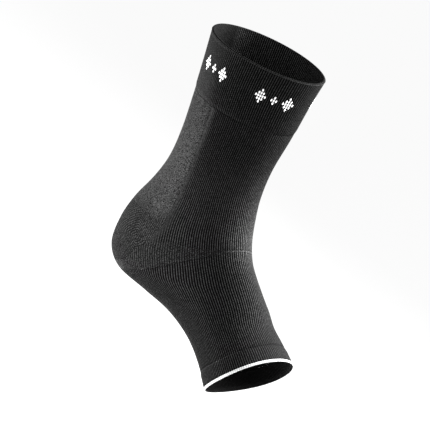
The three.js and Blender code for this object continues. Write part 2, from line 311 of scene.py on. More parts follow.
@dataclass(frozen=True)
class KnitLayout:
    """Where the zones of the knit meet, and how its wales run along the tube."""

    form: SleeveForm = SleeveForm()
    welt_height: float = 45 * MM
    toe_welt_length: float = 14 * MM
    toe_edge_length: float = 1.8 * MM
    toe_curve: float = 2.1 * MM
    toe_skew: float = 2 * MM
    side_angle: float = 87.0
    side_angle_at_wedge: float = 97.0
    side_turns_at: float = 6.0
    side_wedge_at: float = 7.4
    heel_top_at_side: float = 6.3
    heel_top_at_back: float = 6.0
    wales: int = 160
    front_spread: float = 9.0
    front_width: float = 25.0
    foot_drift: float = 18.0
    drift_from: float = 8.0
    drift_to: float = 11.6
    wale_tries: int = 30
    # Painted shade towards the leg rim, the sole and the toes, and a painted highlight over the crease of the
    # instep.
    painted_shade_at_rim: float = 0.48
    rim_shade_fades: Ramp = Ramp(2.3, 2.2)
    crease_along: Swell = Swell(5.8, 1.1)
    crease_around: Swell = Swell(0.0, 32.0, 4)
    sole_along: Ramp = Ramp(8.0, 1.5)
    sole_around: Ramp = Ramp(75.0, 25.0)
    sole_shade: float = 0.3
    toes_along: Ramp = Ramp(11.3, 1.2)
    toes_around: Ramp = Ramp(40.0, 20.0)
    toes_shade: float = 0.28
    plain_sides: Swell = Swell(98.0, 13.0)
    plain_stretch: float = 0.4

    def border(self, stations: Callable[[np.ndarray], np.ndarray]) -> Border:
        """Turns a rule for angles from -180 to 180 into a quick border for any angle."""
        angles = np.arange(-180.0, 181.0)
        values = stations(angles)
        return lambda angle: np.interp(np.mod(angle + 180, 360) - 180, angles, values)

    def leg_rim(self) -> Border:
        """The rim of the leg opening."""
        return self.border(np.zeros_like)

    def above_toe_rim(self, length: float) -> Border:
        """A line round the foot that lies a length above the toe rim.

        Args:
            length: Its distance from the rim along the knit, 0 for the rim itself.

        Returns:
            The border. The rim meets the last section on the right-hand side and runs above it elsewhere.
        """
        def stations(angle: np.ndarray) -> np.ndarray:
            """Gives the station of the line at each angle."""
            turn = np.radians(angle)
            short = self.toe_skew * (1 - np.sin(turn)) + self.toe_curve * np.cos(turn) ** 2
            return self.form.station_after(np.full_like(angle, self.form.toe_end), angle, -short - length)

        return self.border(stations)

    def welt_foot(self) -> Border:
        """The lower border of the leg welt."""
        return self.border(lambda a: self.form.station_after(np.zeros_like(a), a, self.welt_height))

    def wedge(self, column: int) -> Border:
        """A border of the wedge: 0 is the upper one and 1 the lower."""
        values = np.array([row[column] for row in WEDGE_ROWS])
        mirrored = np.concatenate([[values[1]], values, [values[-2]]])
        return self.border(lambda a: through(mirrored, 1 + from_front(a) / WEDGE_SPREAD))

    def heel_top(self) -> Border:
        """The border between the plain zone and the heel."""
        rise = self.heel_top_at_side - self.heel_top_at_back
        span = 180 - self.side_angle
        return self.border(lambda a: self.heel_top_at_back + rise * ((180 - from_front(a)) / span) ** 2)

    def side(self, station: np.ndarray) -> np.ndarray:
        """The angle at which the ribbed front ends, at a station."""
        share = (station - self.side_turns_at) / (self.side_wedge_at - self.side_turns_at)
        return self.side_angle + (self.side_angle_at_wedge - self.side_angle) * smooth_step(share)

    def angle_of(self, wale: np.ndarray, station: np.ndarray) -> np.ndarray:
        """Gives the angle at which a wale lies.

        Args:
            wale: The wale's place round the tube, from -180 to 180, in even steps.
            station: Where along the tube it is met.

        Returns:
            The angle in degrees, wider spaced in front and drifting under the foot.
        """
        size = np.abs(wale)
        front = self.front_spread * np.tanh(size / self.front_width) * (1 - size / 180)
        drift = smooth_step((station - self.drift_from) / (self.drift_to - self.drift_from))
        under = self.foot_drift * drift * np.sin(np.radians(size)) ** 2
        return np.sign(wale) * (size + front + under)

    def lightness(self, station: np.ndarray, angle: np.ndarray) -> np.ndarray:
        """Gives how light the ribs are.

        They are darker towards the leg rim and towards the sole and the toes, as painted shade, and lighter
        where they are stretched over the crease of the instep, as a painted highlight.

        Args:
            station: Where they lie along the tube.
            angle: Where they lie round it, in degrees.

        Returns:
            A factor on the yarn's colour, 1 on the sides of the foot.
        """
        size = from_front(angle)
        # Painted shade near the leg rim, a painted highlight over the crease, painted shade towards the sole
        # and the toes.
        close = self.painted_shade_at_rim + (1 - self.painted_shade_at_rim) * self.rim_shade_fades.at(station)
        crease = self.crease_along.at(station) * self.crease_around.at(size)
        sole = self.sole_along.at(station) * self.sole_around.at(size)
        toes = self.toes_along.at(station) * (1 - self.toes_around.at(size))
        return close * (1 + crease) * (1 - self.sole_shade * sole) * (1 - self.toes_shade * toes)

    def plain_lightness(self, angle: np.ndarray) -> np.ndarray:
        """Gives how light the plain knit is, lightest where it is stretched over the leg's sides."""
        return 1 + self.plain_stretch * self.plain_sides.at(from_front(angle))

    def wale_of(self, angle: np.ndarray, station: np.ndarray) -> np.ndarray:
        """Gives the wale angle that lies at an angle, which is counted on past 180 without a jump."""
        turned = np.where(angle > 180, angle - 360, angle)
        wale = turned.copy()
        for _ in range(self.wale_tries):
            wale = wale + turned - self.angle_of(wale, station)
        return np.where(angle > 180, wale + 360, wale)


def linear(code: str) -> tuple[float, float, float, float]:
    """Turns an sRGB hex colour into the linear values that shaders take."""
    channels = [int(code[k : k + 2], 16) / 255 for k in (1, 3, 5)]
    values = [c / 12.92 if c <= 0.04045 else ((c + 0.055) / 1.055) ** 2.4 for c in channels]
    return (*values, 1.0)


def add_node(
    tree: bpy.types.NodeTree, kind: str, inputs: dict[int | str, object] | None = None, **settings: object
) -> bpy.types.Node:
    """Adds a node with its settings and its inputs.

    Args:
        tree: The node tree that takes it.
        kind: Its type, without the leading ShaderNode.
        inputs: For each input socket a value, or an output socket that is linked to it.
        **settings: The node's own properties.

    Returns:
        The node.
    """
    node = tree.nodes.new("ShaderNode" + kind)
    for name, value in settings.items():
        setattr(node, name, value)
    for socket, value in (inputs or {}).items():
        if isinstance(value, bpy.types.NodeSocket):
            tree.links.new(value, node.inputs[socket])
        else:
            node.inputs[socket].default_value = value
    return node


@dataclass(frozen=True)
class KnitYarn:
    """A matt knit of nylon and elastane yarn, dark between its wales.

    The crest of a wale is painted light, as a painted highlight of lit filaments, and the valley between two
    wales carries painted shade on top of the relief's own. Every stitch is a short bead along its wale, and
    single filaments make the surface speckled. They are finer than the render can show, so their speckle is
    drawn 0.75 to
    1.3 mm coarse. The mesh says where the knit is plain, how light it is, with painted light and shade, and
    where a line of linking stitches runs.
    """

    name: str
    slot: str
    crest: str
    valley: str
    plain: str
    rib_sharpness: float = 6.0
    stitch_contrast: float = 0.4
    speckle: float = 0.35
    speckle_size: float = 1.3 * MM
    darkest_noise: float = 0.36
    lightest_noise: float = 0.64
    line_width: float = 1.1 * MM
    roughness: float = 0.9
    specular: float = 0.02
    bump: float = 0.12 * MM

    def material(self) -> bpy.types.Material:
        """Gives the finish's material, which is made the first time it is asked for."""
        return bpy.data.materials.get(self.name) or self.build()

    def build(self) -> bpy.types.Material:
        """Makes the material."""
        material = bpy.data.materials.new(self.name)
        material.use_nodes = True
        tree = material.node_tree
        tree.nodes.clear()
        knit = add_node(tree, "UVMap", uv_map=KNIT_MAP)
        place = add_node(tree, "SeparateXYZ", {0: knit.outputs["UV"]})
        crest = self.crest_share(tree, place.outputs["X"])
        stitch = self.stitch_share(tree, place.outputs["X"], place.outputs["Y"])
        speckle = self.speckle_share(tree)
        bead = add_node(tree, "Math", {0: stitch, 1: self.stitch_contrast, 2: 1 - self.stitch_contrast},
                        operation="MULTIPLY_ADD")
        # Painted light on the crests and painted shade in the valleys.
        lit = add_node(tree, "Math", {0: crest, 1: bead.outputs[0]}, operation="MULTIPLY")
        ribbed = add_node(tree, "Mix", {0: lit.outputs[0], 6: linear(self.valley), 7: linear(self.crest)},
                          data_type="RGBA")
        stored = add_node(tree, "Attribute", attribute_name="look")
        look = add_node(tree, "SeparateXYZ", {0: stored.outputs["Vector"]})
        colour = add_node(tree, "Mix", {0: look.outputs["X"], 6: ribbed.outputs[2], 7: linear(self.plain)},
                          data_type="RGBA")
        grain = add_node(tree, "Math", {0: speckle, 1: 2 * self.speckle, 2: 1 - self.speckle},
                         operation="MULTIPLY_ADD")
        # The mesh's lightness, which carries painted light and shade.
        lightness = add_node(tree, "Math", {0: look.outputs["Y"], 1: 1.0}, operation="ADD")
        line = self.line_factor(tree, look.outputs["Z"])
        toned = add_node(tree, "Math", {0: lightness.outputs[0], 1: line}, operation="MULTIPLY")
        shade = add_node(tree, "Math", {0: toned.outputs[0], 1: grain.outputs[0]}, operation="MULTIPLY")
        speckled = add_node(tree, "Mix", {0: 1.0, 6: colour.outputs[2], 7: shade.outputs[0]},
                            data_type="RGBA", blend_type="MULTIPLY")
        height = add_node(tree, "Math", {0: stitch, 1: speckle}, operation="ADD")
        relief = add_node(tree, "Bump", {"Height": height.outputs[0], "Distance": self.bump, "Strength": 1.0})
        shader = add_node(tree, "BsdfPrincipled", {
            "Base Color": speckled.outputs[2], "Normal": relief.outputs[0],
            "Roughness": self.roughness, "Specular IOR Level": self.specular,
        })
        add_node(tree, "OutputMaterial", {"Surface": shader.outputs[0]})
        return material

    def crest_share(self, tree: bpy.types.NodeTree, wale: bpy.types.NodeSocket) -> bpy.types.NodeSocket:
        """Gives 1 on a wale's crest and 0 in the valley between two wales."""
        turn = add_node(tree, "Math", {0: wale, 1: math.pi}, operation="MULTIPLY")
        wave = add_node(tree, "Math", {0: turn.outputs[0]}, operation="SINE")
        crest = add_node(tree, "Math", {0: wave.outputs[0]}, operation="ABSOLUTE")
        sharp = add_node(tree, "Math", {0: crest.outputs[0], 1: self.rib_sharpness}, operation="POWER")
        return sharp.outputs[0]

    def stitch_share(
        self, tree: bpy.types.NodeTree, wale: bpy.types.NodeSocket, course: bpy.types.NodeSocket
    ) -> bpy.types.NodeSocket:
        """Gives 1 in the middle of a stitch and 0 between two stitches, staggered from wale to wale."""
        number = add_node(tree, "Math", {0: wale}, operation="FLOOR")
        stagger = add_node(tree, "Math", {0: number.outputs[0], 1: 0.5, 2: course}, operation="MULTIPLY_ADD")
        turn = add_node(tree, "Math", {0: stagger.outputs[0], 1: 2 * math.pi}, operation="MULTIPLY")
        wave = add_node(tree, "Math", {0: turn.outputs[0]}, operation="SINE")
        share = add_node(tree, "Math", {0: wave.outputs[0], 1: 0.5, 2: 0.5}, operation="MULTIPLY_ADD")
        return share.outputs[0]

    def line_factor(self, tree: bpy.types.NodeTree, strength: bpy.types.NodeSocket) -> bpy.types.NodeSocket:
        """Gives the factor by which a line of linking stitches lightens or darkens the knit."""
        gap = add_node(tree, "Attribute", attribute_name="line_gap")
        near = add_node(tree, "MapRange", {
            "Value": gap.outputs["Fac"], "From Min": 0.0, "From Max": self.line_width,
            "To Min": 1.0, "To Max": 0.0,
        }, interpolation_type="SMOOTHSTEP")
        factor = add_node(tree, "Math", {0: near.outputs[0], 1: strength, 2: 1.0}, operation="MULTIPLY_ADD")
        return factor.outputs[0]

    def speckle_share(self, tree: bpy.types.NodeTree) -> bpy.types.NodeSocket:
        """Gives the speckle of single filaments, from 0 to 1."""
        spot = add_node(tree, "TexCoord")
        grain = add_node(tree, "TexNoise", {
            "Vector": spot.outputs["Object"], "Scale": 1 / self.speckle_size, "Detail": 1.0, "Roughness": 0.5,
        })
        spread = add_node(tree, "MapRange", {
            "Value": grain.outputs[0], "From Min": self.darkest_noise, "From Max": self.lightest_noise,
            "To Min": 0.0, "To Max": 1.0,
        })
        return spread.outputs[0]


# Ribbed knit of textured black nylon: each wale is a soft grey ridge beside a black valley, with painted
# light on the ridge and painted shade in the valley.
BLACK_RIB = KnitYarn(
    name="black_nylon_rib_knit", slot="black_rib_knit", crest="#3e3e3e", valley="#020202", plain="#262626",
)
# Plain knit of the same yarn over pale elastane: an even, speckled dark grey.
GREY_PLAIN = KnitYarn(
    name="black_nylon_plain_knit", slot="grey_plain_knit", crest="#2a2a2a", valley="#151515", plain="#262626",
    speckle=0.95, speckle_size=0.75 * MM,
)
# Close knit of the heel: fine ridges, speckled by the filaments of the close stitches.
HEEL_KNIT = KnitYarn(
    name="black_nylon_heel_knit", slot="heel_knit", crest="#373737", valley="#020202", plain="#1d1d1d",
    speckle=0.9, speckle_size=0.8 * MM, rib_sharpness=2.0, stitch_contrast=0.3,
)
# White textured nylon: bright and matt, with hardly a shadow between its wales.
WHITE_YARN = KnitYarn(
    name="white_nylon_edge_yarn", slot="white_edge_yarn", crest="#f0f0f0", valley="#b9b9b9", plain="#ebebeb",
    speckle=0.06, rib_sharpness=1.0, stitch_contrast=0.1,
)
# The same black yarn turned over at a rim, where its round back catches the light bead by bead.
RIM_YARN = KnitYarn(
    name="grey_turned_edge_yarn", slot="black_rib_knit", crest="#323232", valley="#151515", plain="#2a2a2a",
)


class Span(Enum):
    """How much of the way round a zone goes."""

    RING = "whole ring"
    FRONT = "front, up to the side borders"
    BACK = "back, up to the side borders"


@dataclass
class ZoneGrid:
    """The points of a zone as numbers: where each lies on the knit and on the form."""

    wale: np.ndarray
    station: np.ndarray
    angle: np.ndarray
    from_start: np.ndarray
    from_end: np.ndarray
    layout: KnitLayout

    @property
    def wale_count(self) -> np.ndarray:
        """Wales counted round the tube from its back."""
        return self.wale / 360 * self.layout.wales


def deselect_all() -> None:
    """Leaves nothing selected."""
    bpy.ops.object.select_all(action="DESELECT")


def take_up(piece: bpy.types.Object) -> None:
    """Selects one piece alone and makes it the active one."""
    deselect_all()
    piece.select_set(True)
    bpy.context.view_layer.objects.active = piece


def name_new_piece(name: str) -> bpy.types.Object:
    """Names the primitive that was just added, and its mesh."""
    piece = bpy.context.active_object
    piece.name = piece.data.name = name
    return piece


def face_outwards(piece: bpy.types.Object, merged: bool = False) -> None:
    """Recalculates a piece's normals in edit mode.

    Args:
        piece: The piece, which is taken up for it.
        merged: Whether points at the same place are merged first.
    """
    take_up(piece)
    bpy.ops.object.mode_set(mode="EDIT")
    bpy.ops.mesh.select_all(action="SELECT")
    if merged:
        bpy.ops.mesh.remove_doubles(threshold=SAME_PLACE)
    bpy.ops.mesh.normals_make_consistent(inside=False)
    bpy.ops.object.mode_set(mode="OBJECT")


def get_points(mesh: bpy.types.Mesh) -> np.ndarray:
    """Reads the places of a mesh's points."""
    points = np.zeros(len(mesh.vertices) * 3, np.float32)
    mesh.vertices.foreach_get("co", points)
    return points.reshape(-1, 3)


def set_points(mesh: bpy.types.Mesh, points: np.ndarray) -> None:
    """Moves a mesh's points to new places."""
    mesh.vertices.foreach_set("co", points.astype(np.float32).ravel())


def set_knit_places(mesh: bpy.types.Mesh, wale: np.ndarray, course: np.ndarray) -> None:
    """Stores the wale and course of every point as the mesh's own UV map."""
    corners = np.zeros(len(mesh.loops), np.int32)
    mesh.loops.foreach_get("vertex_index", corners)
    layer = mesh.uv_layers[0] if mesh.uv_layers else mesh.uv_layers.new()
    layer.name = KNIT_MAP
    places = np.stack([wale[corners], course[corners]], axis=-1)
    layer.data.foreach_set("uv", places.astype(np.float32).ravel())


def set_attribute(mesh: bpy.types.Mesh, name: str, values: np.ndarray) -> None:
    """Stores one number, or one vector, for every point of a mesh."""
    kind, slot = ("FLOAT_VECTOR", "vector") if values.ndim == 2 else ("FLOAT", "value")
    attribute = mesh.attributes.get(name) or mesh.attributes.new(name, kind, "POINT")
    attribute.data.foreach_set(slot, values.astype(np.float32).ravel())


def get_attribute(mesh: bpy.types.Mesh, name: str) -> np.ndarray:
    """Reads one number, or one vector, for every point of a mesh."""
    attribute = mesh.attributes[name]
    vector = attribute.data_type == "FLOAT_VECTOR"
    values = np.zeros(len(mesh.vertices) * (3 if vector else 1), np.float32)
    attribute.data.foreach_get("vector" if vector else "value", values)
    return values.reshape(-1, 3) if vector else values


@dataclass
class KnitZone:
    """One zone of the knit, made as a flat grid that is wrapped on the form and given its wall."""

    node: str
    yarn: KnitYarn
    start: Border
    end: Border
    wall: float
    layout: KnitLayout
    span: Span = Span.RING
    proud: float = 0.0
    samples: int = 6
    row_step: float = 1.6 * MM
    column_step: float = 0.9 * MM
    course_pitch: float = 1.5 * MM  # drawn about twice as coarse as real courses, which would not show
    rib_depth: float = 0.35 * MM
    inner_rib_depth: float = 0.15 * MM
    # Painted shade on the inside.
    inner_lightness: float = 0.8
    seam: float = 0.05 * MM
    meeting_tries: int = 12
    length_steps: int = 12
    rim_pull: float = 0.85
    rim_at_start: bool = False
    rim_at_end: bool = False
    rim_round: float = 0.9 * MM
    eased_at_start: bool = False
    eased_at_end: bool = False
    ease: float = 3 * MM

    def build(self) -> bpy.types.Object:
        """Makes the zone's piece.

        Returns:
            The finished object, with its place in its mesh.
        """
        columns, rows = self.grid_size()
        piece = self.flat_grid(columns, rows)
        self.wrap(piece.data)
        self.close_seam(piece)
        self.give_wall(piece)
        self.give_relief(piece.data)
        piece.data.materials.append(self.yarn.material())
        piece.data.shade_smooth()
        return piece

    def wale_reach(self) -> float:
        """Gives the wale angle that lies on the side border of the leg."""
        return float(self.layout.wale_of(np.array([self.layout.side_angle]), np.zeros(1))[0])

    def grid_size(self) -> tuple[int, int]:
        """Works out how many columns and rows the grid needs."""
        wale_step = 360 / self.layout.wales / self.samples
        reach = {Span.RING: 360.0, Span.FRONT: 2 * self.wale_reach()}
        if self.span is Span.BACK:
            columns = round(self.layout.form.calf_width * math.pi / 2 / self.column_step)
        else:
            columns = round(reach[self.span] / wale_step)
        angles = np.array([0.0, 45.0, 90.0, 135.0, 180.0])
        tops = self.layout.form.skin(self.start(angles), angles)
        feet = self.layout.form.skin(self.end(angles), angles)
        rows = max(4, math.ceil(np.linalg.norm(tops - feet, axis=-1).max() / self.row_step))
        return columns, rows

    def flat_grid(self, columns: int, rows: int) -> bpy.types.Object:
        """Adds a flat grid, one unit wide and long."""
        deselect_all()
        bpy.ops.mesh.primitive_grid_add(x_subdivisions=columns, y_subdivisions=rows, size=1.0)
        return name_new_piece(self.node + "_knit")

    def angle_at(self, across: np.ndarray, station: np.ndarray) -> np.ndarray:
        """Gives the angle of a column of the grid.

        Args:
            across: The column's share of the grid's width.
            station: Where along the tube the angle is wanted.

        Returns:
            The angle in degrees.
        """
        layout = self.layout
        if self.span is Span.RING:
            return layout.angle_of(360 * across - 180, station)
        side = layout.side(station)
        if self.span is Span.FRONT:
            reach = self.wale_reach()
            return layout.angle_of(reach * (2 * across - 1), station) * side / layout.side_angle
        return side + (360 - 2 * side) * across

    def lay_out(self, across: np.ndarray, down: np.ndarray) -> ZoneGrid:
        """Places a flat grid's points on the knit.

        Args:
            across: Each point's share of the grid's width.
            down: Each point's share of the grid's length.

        Returns:
            The points' places on the knit and on the form.
        """
        first = self.meeting(self.start, across)
        last = self.meeting(self.end, across)
        length = self.column_length(first, last, across)
        inset = self.seam / 2 / length
        share = inset + (1 - 2 * inset) * self.row_share(down)
        station = first + (last - first) * share
        angle = self.angle_at(across, station)
        wale = 360 * across - 180 if self.span is Span.RING else self.layout.wale_of(angle, station)
        return ZoneGrid(wale, station, angle, share * length, (1 - share) * length, self.layout)

    def meeting(self, border: Border, across: np.ndarray) -> np.ndarray:
        """Gives the station where each column meets a border."""
        station = np.full_like(across, self.layout.side_turns_at)
        for _ in range(self.meeting_tries):
            station = border(self.angle_at(across, station))
        return station

    def column_length(self, first: np.ndarray, last: np.ndarray, across: np.ndarray) -> np.ndarray:
        """Measures each column along the outside."""
        total = np.zeros_like(first)
        previous = None
        for k in range(self.length_steps + 1):
            station = first + (last - first) * k / self.length_steps
            point = self.layout.form.skin(station, self.angle_at(across, station))
            if previous is not None:
                total += np.linalg.norm(point - previous, axis=-1)
            previous = point
        return total

    def row_share(self, down: np.ndarray) -> np.ndarray:
        """Draws the rows closer together at a rim, so that it can be rounded."""
        if not (self.rim_at_start or self.rim_at_end):
            return down
        towards = down if self.rim_at_start else 1 - down
        drawn = towards * (1 - self.rim_pull) + self.rim_pull * towards**2
        return drawn if self.rim_at_start else 1 - drawn

    def wrap(self, mesh: bpy.types.Mesh) -> None:
        """Moves a flat grid's points on to the form and stores what the relief and the finish need."""
        flat = get_points(mesh).astype(float)
        grid = self.lay_out(flat[:, 0] + 0.5, 0.5 - flat[:, 1])
        form = self.layout.form
        outward = form.outward(grid.station, grid.angle)
        set_points(mesh, form.skin(grid.station, grid.angle) + outward * self.rise(grid)[:, None])
        set_attribute(mesh, "lift", outward)
        set_attribute(mesh, "rib", self.rib_height(grid))
        set_attribute(mesh, "round", self.rim_drop(grid))
        set_attribute(mesh, "look", self.look(grid))
        set_attribute(mesh, "inner_look", self.inner_look(grid))
        set_attribute(mesh, "line_gap", self.line_gap(grid))
        set_knit_places(mesh, *self.knit_places(grid))

    def knit_places(self, grid: ZoneGrid) -> tuple[np.ndarray, np.ndarray]:
        """Gives each point's wale and course, counted in stitches."""
        return grid.wale_count, grid.from_start / self.course_pitch

    def rib_height(self, grid: ZoneGrid) -> np.ndarray:
        """Gives the outside's relief, from -1 in a valley to 0 on a crest."""
        wale, _ = self.knit_places(grid)
        return np.abs(np.sin(math.pi * wale)) - 1

    def plain_share(self, grid: ZoneGrid) -> np.ndarray:
        """Gives how plain the knit is, from 0, ribbed, to 1."""
        return np.zeros_like(grid.station)

    def lightness(self, grid: ZoneGrid) -> np.ndarray:
        """Gives the factor on the yarn's colour."""
        return self.layout.lightness(grid.station, grid.angle)

    def line_gap(self, grid: ZoneGrid) -> np.ndarray:
        """Gives the distance to the zone's line of linking stitches."""
        return grid.from_start

    def line_strength(self, grid: ZoneGrid) -> np.ndarray:
        """Gives how much that line lightens the knit, or darkens it where it is negative."""
        return np.zeros_like(grid.station)

    def look(self, grid: ZoneGrid) -> np.ndarray:
        """Gives what the finish reads: how plain the knit is, its lightness less 1, its line's strength."""
        return np.stack(
            (self.plain_share(grid), self.lightness(grid) - 1, self.line_strength(grid)), axis=-1
        )

    def inner_look(self, grid: ZoneGrid) -> np.ndarray:
        """Gives the same for the inside, which is a little darker, as painted shade."""
        look = self.look(grid)
        look[:, 1] = (1 + look[:, 1]) * self.inner_lightness - 1
        return look

    def rise(self, grid: ZoneGrid) -> np.ndarray:
        """Gives how far the knit stands out from the form, which eases off towards a thinner neighbour."""
        share = np.ones_like(grid.station)
        if self.eased_at_start:
            share *= smooth_step(grid.from_start / self.ease)
        if self.eased_at_end:
            share *= smooth_step(grid.from_end / self.ease)
        return self.proud * share

    def rim_drop(self, grid: ZoneGrid) -> np.ndarray:
        """Gives how far the surface is drawn in at a rim, to round it."""
        drop = np.zeros_like(grid.station)
        for wanted, distance in ((self.rim_at_start, grid.from_start), (self.rim_at_end, grid.from_end)):
            if wanted:
                share = np.clip(1 - distance / self.rim_round, 0, 1)
                drop += self.rim_round * (1 - np.sqrt(1 - share**2))
        return drop

    def close_seam(self, piece: bpy.types.Object) -> None:
        """Merges the grid's first and last columns, and turns its faces outwards."""
        face_outwards(piece, merged=True)
        mesh = piece.data
        lift = get_attribute(mesh, "lift")
        middle = mesh.polygons[len(mesh.polygons) // 2]
        if Vector(lift[middle.vertices[0]]).dot(middle.normal) < 0:
            bpy.ops.object.mode_set(mode="EDIT")
            bpy.ops.mesh.flip_normals()
            bpy.ops.object.mode_set(mode="OBJECT")

    def give_wall(self, piece: bpy.types.Object) -> None:
        """Gives the zone its wall, inwards from the outside."""
        wall = piece.modifiers.new("wall", "SOLIDIFY")
        wall.thickness = self.wall
        wall.offset = -1
        take_up(piece)
        bpy.ops.object.modifier_apply(modifier=wall.name)

    def give_relief(self, mesh: bpy.types.Mesh) -> None:
        """Sinks the valleys between the wales, on the outside and, shallower, on the inside."""
        points = get_points(mesh)
        count = len(points)
        lift, rib, rounding = (get_attribute(mesh, name) for name in ("lift", "rib", "round"))
        outside = np.arange(count) < count // 2
        height = np.where(outside, rib * self.rib_depth - rounding, -rib * self.inner_rib_depth + rounding)
        set_points(mesh, points + lift * height[:, None])
        mesh.update()
        look = np.where(outside[:, None], get_attribute(mesh, "look"), get_attribute(mesh, "inner_look"))
        set_attribute(mesh, "look", look)
        for name in ("lift", "rib", "round", "inner_look"):
            mesh.attributes.remove(mesh.attributes[name])


@dataclass
class LegWelt(KnitZone):
    """The doubled band round the leg opening, with a second fine line under its rim towards the back."""

    plain_back: Ramp = Ramp(82.0, 24.0)
    plain_relief: float = 0.3
    plain_tone: float = 0.32
    plain_below: Ramp = Ramp(0.0, 35 * MM)
    # Painted shade over the front of the welt and on the rim itself.
    front_corner: Swell = Swell(0.0, 26.0)
    corner_shade: float = 0.42
    rim_tone: float = 0.45
    below_rim: Ramp = Ramp(0.0, 1.6 * MM)
    inner_plain: Ramp = Ramp(108.0, 10.0)
    inner_ribs: Ramp = Ramp(188.0, 10.0)
    # Painted light and shade on the inside of the welt.
    inner_sides: Ramp = Ramp(30.0, 60.0)
    inner_right: Ramp = Ramp(145.0, 40.0)
    line_below_rim: float = 2.4 * MM
    line_back: Ramp = Ramp(70.0, 25.0)
    line_light: float = 0.9

    def plain_share(self, grid: ZoneGrid) -> np.ndarray:
        """Turns the ribs plain towards the back."""
        return self.plain_back.at(from_front(grid.angle))

    def rib_height(self, grid: ZoneGrid) -> np.ndarray:
        """Sinks the valleys less where the knit is plain."""
        return super().rib_height(grid) * (1 - (1 - self.plain_relief) * self.plain_share(grid))

    def lightness(self, grid: ZoneGrid) -> np.ndarray:
        """Gives the doubled knit's colour, which is lighter where it is plain and darker at the front, as
        painted shade.
        """
        plain = self.plain_tone * (1 + self.plain_below.at(grid.from_start))
        corner = self.corner_shade * self.front_corner.at(from_front(grid.angle))
        ribbed = self.layout.painted_shade_at_rim * (1 - corner)
        return (ribbed + (plain - ribbed) * self.plain_share(grid)) * self.rim_shade(grid)

    def rim_shade(self, grid: ZoneGrid) -> np.ndarray:
        """Darkens the knit on the rim itself, as painted shade."""
        return self.rim_tone + (1 - self.rim_tone) * self.below_rim.at(grid.from_start)

    def inner_look(self, grid: ZoneGrid) -> np.ndarray:
        """Gives the inside's look: its layer is plain on the right at the back only, and ribbed elsewhere."""
        turned = np.mod(grid.angle, 360)
        plain = self.inner_plain.at(turned) * (1 - self.inner_ribs.at(turned))
        # Painted light and shade inside the opening: the ribbed layer lighter away from the front, the plain
        # part dark and lighter past 145 degrees.
        ribbed = 0.9 + 0.35 * self.inner_sides.at(from_front(grid.angle))
        smooth = 0.08 + 0.2 * self.inner_right.at(turned)
        lightness = (ribbed + (smooth - ribbed) * plain) * self.rim_shade(grid)
        return np.stack((plain, lightness - 1, np.zeros_like(plain)), axis=-1)

    def line_gap(self, grid: ZoneGrid) -> np.ndarray:
        """Gives the distance to the second line under the rim."""
        return np.abs(grid.from_start - self.line_below_rim)

    def line_strength(self, grid: ZoneGrid) -> np.ndarray:
        """Lets the second line show towards the back only."""
        return self.line_light * self.line_back.at(from_front(grid.angle))


@dataclass
class FrontZone(KnitZone):
    """The ribbed front of the leg, whose wales fade where the plain zone begins."""

    fade: float = 9.0
    faded_relief: float = 0.2
    towards_heel: Ramp = Ramp(4.9, 1.3)
    heel_shade: float = 0.37

    def plain_share(self, grid: ZoneGrid) -> np.ndarray:
        """Fades the ribs over the last degrees before the side borders."""
        left = grid.layout.side(grid.station) - np.abs(grid.angle)
        return 1 - smooth_step(left / self.fade)

    def rib_height(self, grid: ZoneGrid) -> np.ndarray:
        """Sinks the valleys less where the ribs fade."""
        return super().rib_height(grid) * (1 - (1 - self.faded_relief) * self.plain_share(grid))

    def lightness(self, grid: ZoneGrid) -> np.ndarray:
        """Gives the ribs' own lightness, and the plain zone's where they fade."""
        plain = self.plain_share(grid)
        shaded = 1 - self.heel_shade * self.towards_heel.at(grid.station)
        stretched = self.layout.plain_lightness(grid.angle)
        return super().lightness(grid) * (1 - plain) + plain * shaded * stretched


@dataclass
class PlainZone(KnitZone):
    """The plain knit up the back of the leg, with the slight unevenness of stretched plain knit."""

    # Radians per millimetre along x, y and z, of two slow and two fine waves that cross in pairs.
    waves: tuple[tuple[float, float, float], ...] = (
        (0.9, 0.0, 1.3), (0.0, 1.1, -0.7), (0.0, 2.3, 2.9), (-1.9, 0.0, 2.7),
    )
    heel_fade: Ramp = Ramp(0.0, 14 * MM)
    below_welt: Ramp = Ramp(0.0, 45 * MM)
    welt_tone: float = 0.7
    lower_light: float = 0.38

    def plain_share(self, grid: ZoneGrid) -> np.ndarray:
        """Darkens the knit softly towards the heel."""
        return self.heel_fade.at(grid.from_end)

    def lightness(self, grid: ZoneGrid) -> np.ndarray:
        """Gives the plain knit's colour, a little darker under the welt."""
        under_welt = self.welt_tone + self.lower_light * self.below_welt.at(grid.from_start)
        return under_welt * self.layout.plain_lightness(grid.angle)

    def rib_height(self, grid: ZoneGrid) -> np.ndarray:
        """Gives low, slow undulations instead of ribs."""
        x, y, z = (self.layout.form.skin(grid.station, grid.angle) / MM).T
        slow, across_slow, fine, across_fine = (np.sin(a * x + b * y + c * z) for a, b, c in self.waves)
        return (slow * across_slow + fine * across_fine) / 6 - 0.3


